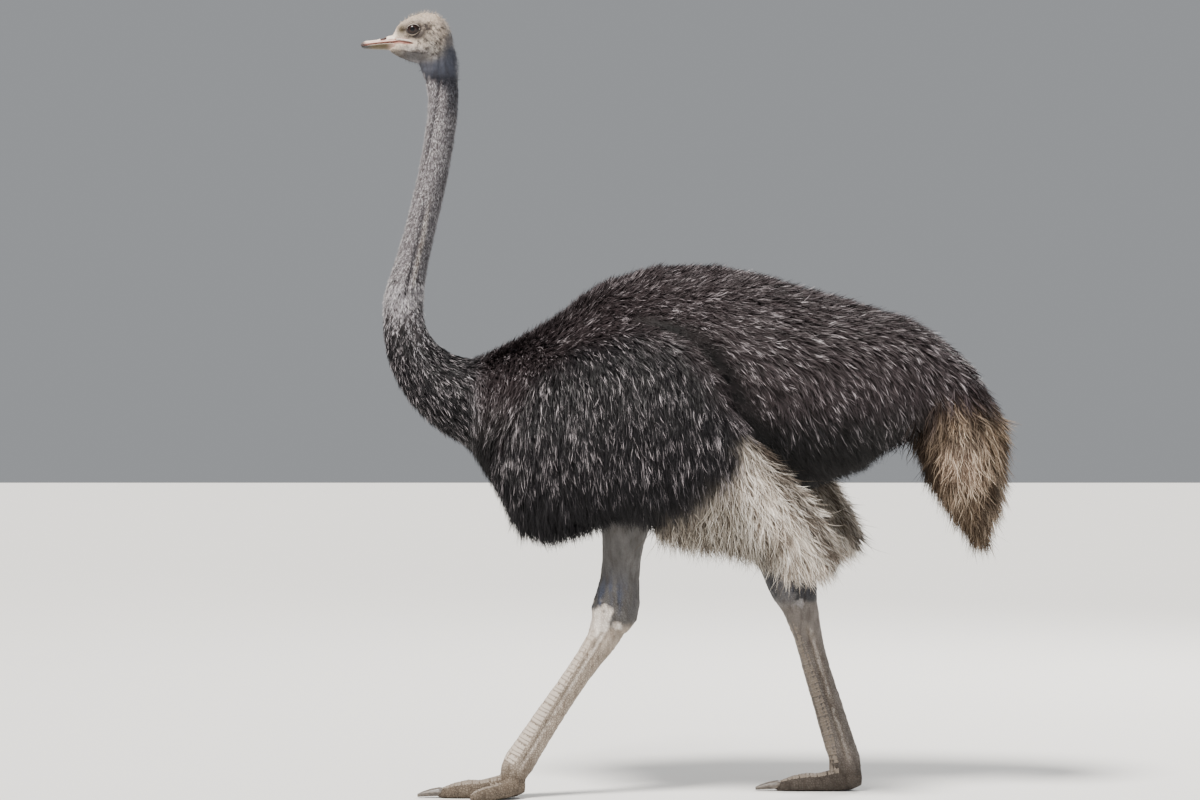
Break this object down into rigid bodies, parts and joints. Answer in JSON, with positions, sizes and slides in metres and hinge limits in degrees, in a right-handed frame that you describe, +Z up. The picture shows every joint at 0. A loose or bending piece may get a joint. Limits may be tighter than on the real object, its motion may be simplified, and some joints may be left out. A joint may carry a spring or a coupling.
{
  "type": "adult male ostrich, walking",
  "caption": "Life-size still model of a male ostrich in mid stride, neck upright, wings folded, long plumes hanging at wings and tail, standing on its own two feet.",
  "frame": {"origin": "on the floor, under the middle of the bird's box", "axes": "+Z up, -Y the way the bird walks, +X the bird's left side"},
  "size_m": [0.616, 1.7831, 2.1456],
  "materials": {
    "plumage_black": "loose glossy black body feathers",
    "plume_white": "soft off-white wing plumes",
    "plume_tan": "tan tail plumes with brown shadows",
    "neck_down": "grey skin under short white down",
    "leg_skin": "bare pale grey scaly skin",
    "bill_horn": "satin pinkish horn",
    "claw_horn": "worn dark horn",
    "eye_wet": "wet dark brown eye"
  },
  "bodies": {
    "root": {"head": "neck_down", "bill_upper": "bill_horn", "bill_lower": "bill_horn", "eye_left": "eye_wet", "eye_right": "eye_wet", "neck_upper": "neck_down", "neck_middle": "neck_down", "neck_lower": "plumage_black", "trunk": "plumage_black", "wing_left": "plumage_black", "wing_right": "plumage_black", "wing_plumes_left": "plume_white", "wing_plumes_right": "plume_white", "tail": "plume_tan", "drumstick_left": "leg_skin", "drumstick_right": "leg_skin", "shank_left": "leg_skin", "shank_right": "leg_skin", "toe_inner_left": "leg_skin", "toe_inner_right": "leg_skin", "toe_outer_left": "leg_skin", "toe_outer_right": "leg_skin", "claw_left": "claw_horn", "claw_right": "claw_horn"}
  },
  "joints": []
}
